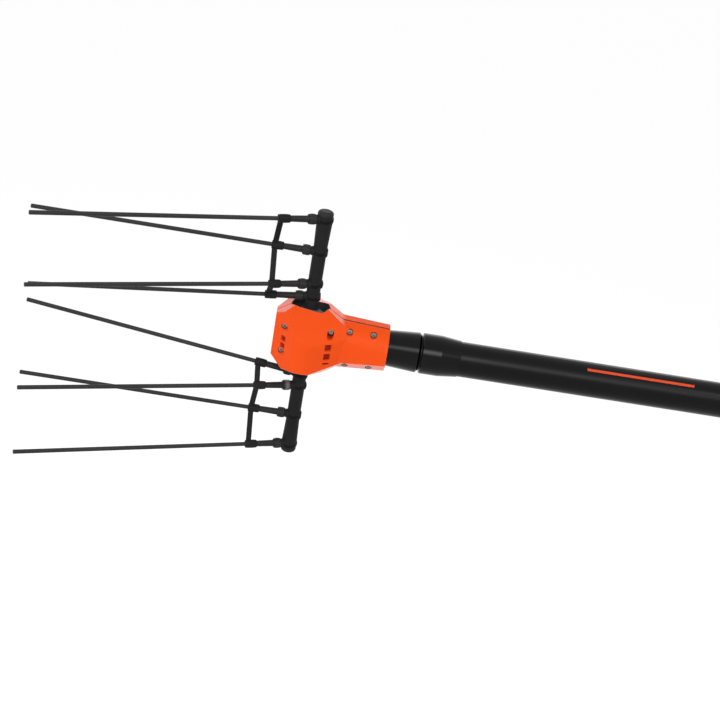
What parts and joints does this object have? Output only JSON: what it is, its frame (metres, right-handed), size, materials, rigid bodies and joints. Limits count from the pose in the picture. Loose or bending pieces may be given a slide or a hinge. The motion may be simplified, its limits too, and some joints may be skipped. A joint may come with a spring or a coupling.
{
  "type": "electric olive harvester",
  "caption": "Pole-mounted electric olive harvester: an orange head swings two opposite black arms with long carbon tines; push button near the rear end of the black pole.",
  "frame": {"origin": "on the pole axis, at the middle of the bare stretch of the pole where the tool is held", "axes": "+X along the pole towards the operator, +Z along the upper arm, +Y to the far side of the housing"},
  "size_m": [1.7815, 0.1534, 0.303],
  "materials": {
    "orange_shell": "moulded satin",
    "orange_button": "smooth",
    "black_moulding": "fine moulded grain",
    "gloss_black": "polished",
    "black_pole": "satin",
    "tine_carbon": "pultruded, satin",
    "socket_rubber": "moulded",
    "soft_rubber": "matt",
    "screw_steel": "zinc plated",
    "bearing_steel": "ground",
    "machined_steel": "turned",
    "cast_aluminium": "die cast",
    "motor_can": "zinc and paint",
    "lead_sheath": "plain"
  },
  "bodies": {
    "pole": {"bearing_lower": "bearing_steel", "bearing_upper": "bearing_steel", "boot_lower": "soft_rubber", "boot_upper": "soft_rubber", "collar": "gloss_black", "ferrule": "gloss_black", "gearbox": "cast_aluminium", "grip": "soft_rubber", "housing_far_half": "orange_shell", "housing_near_half": "orange_shell", "housing_screws": "screw_steel", "motor": "motor_can", "motor_lead": "lead_sheath", "pole": "black_pole", "power_inlet": "black_moulding", "rear_cap": "black_moulding", "shaft_seal_lower": "soft_rubber", "shaft_seal_upper": "soft_rubber", "switch_block": "black_moulding", "switch_housing": "black_moulding", "switch_spring": "machined_steel"},
    "comb": {"arm_cap_lower": "black_moulding", "arm_cap_upper": "black_moulding", "arm_lower": "black_moulding", "arm_pins": "machined_steel", "arm_upper": "black_moulding", "rocker_key": "machined_steel", "rocker_lever": "cast_aluminium", "rocker_shaft": "machined_steel", "tine_lower_1": "tine_carbon", "tine_lower_2": "tine_carbon", "tine_lower_3": "tine_carbon", "tine_lower_4": "tine_carbon", "tine_nut_lower_1": "black_moulding", "tine_nut_lower_2": "black_moulding", "tine_nut_lower_3": "black_moulding", "tine_nut_lower_4": "black_moulding", "tine_nut_upper_1": "black_moulding", "tine_nut_upper_2": "black_moulding", "tine_nut_upper_3": "black_moulding", "tine_nut_upper_4": "black_moulding", "tine_socket_lower_1": "socket_rubber", "tine_socket_lower_2": "socket_rubber", "tine_socket_lower_3": "socket_rubber", "tine_socket_lower_4": "socket_rubber", "tine_socket_upper_1": "socket_rubber", "tine_socket_upper_2": "socket_rubber", "tine_socket_upper_3": "socket_rubber", "tine_socket_upper_4": "socket_rubber", "tine_upper_1": "tine_carbon", "tine_upper_2": "tine_carbon", "tine_upper_3": "tine_carbon", "tine_upper_4": "tine_carbon", "web_lower": "black_moulding", "web_upper": "black_moulding"},
    "crank": {"crank": "machined_steel", "crank_roller": "machined_steel"},
    "button": {"switch_button": "orange_button"}
  },
  "joints": [
    {"name": "comb_swing", "type": "hinge", "parent": "pole", "child": "comb", "pos_m": [-0.6477, 0, 0], "axis": [0, 0, 1], "range_deg": [-24.4, 3.6]},
    {"name": "crank_turn", "type": "hinge", "parent": "pole", "child": "crank", "pos_m": [-0.6162, 0, 0], "axis": [-1, 0, 0], "range_deg": [-120.06, 18.14]},
    {"name": "button_press", "type": "slide", "parent": "pole", "child": "button", "axis": [0, 0, -1], "range_m": [0, 0.003], "stiffness_N_per_m": 400, "springref_m": -0.002, "deforming": ["switch_spring"]}
  ],
  "couplings": [
    {"joint": "crank_turn", "follows": "comb_swing", "ratio": 4.9}
  ]
}
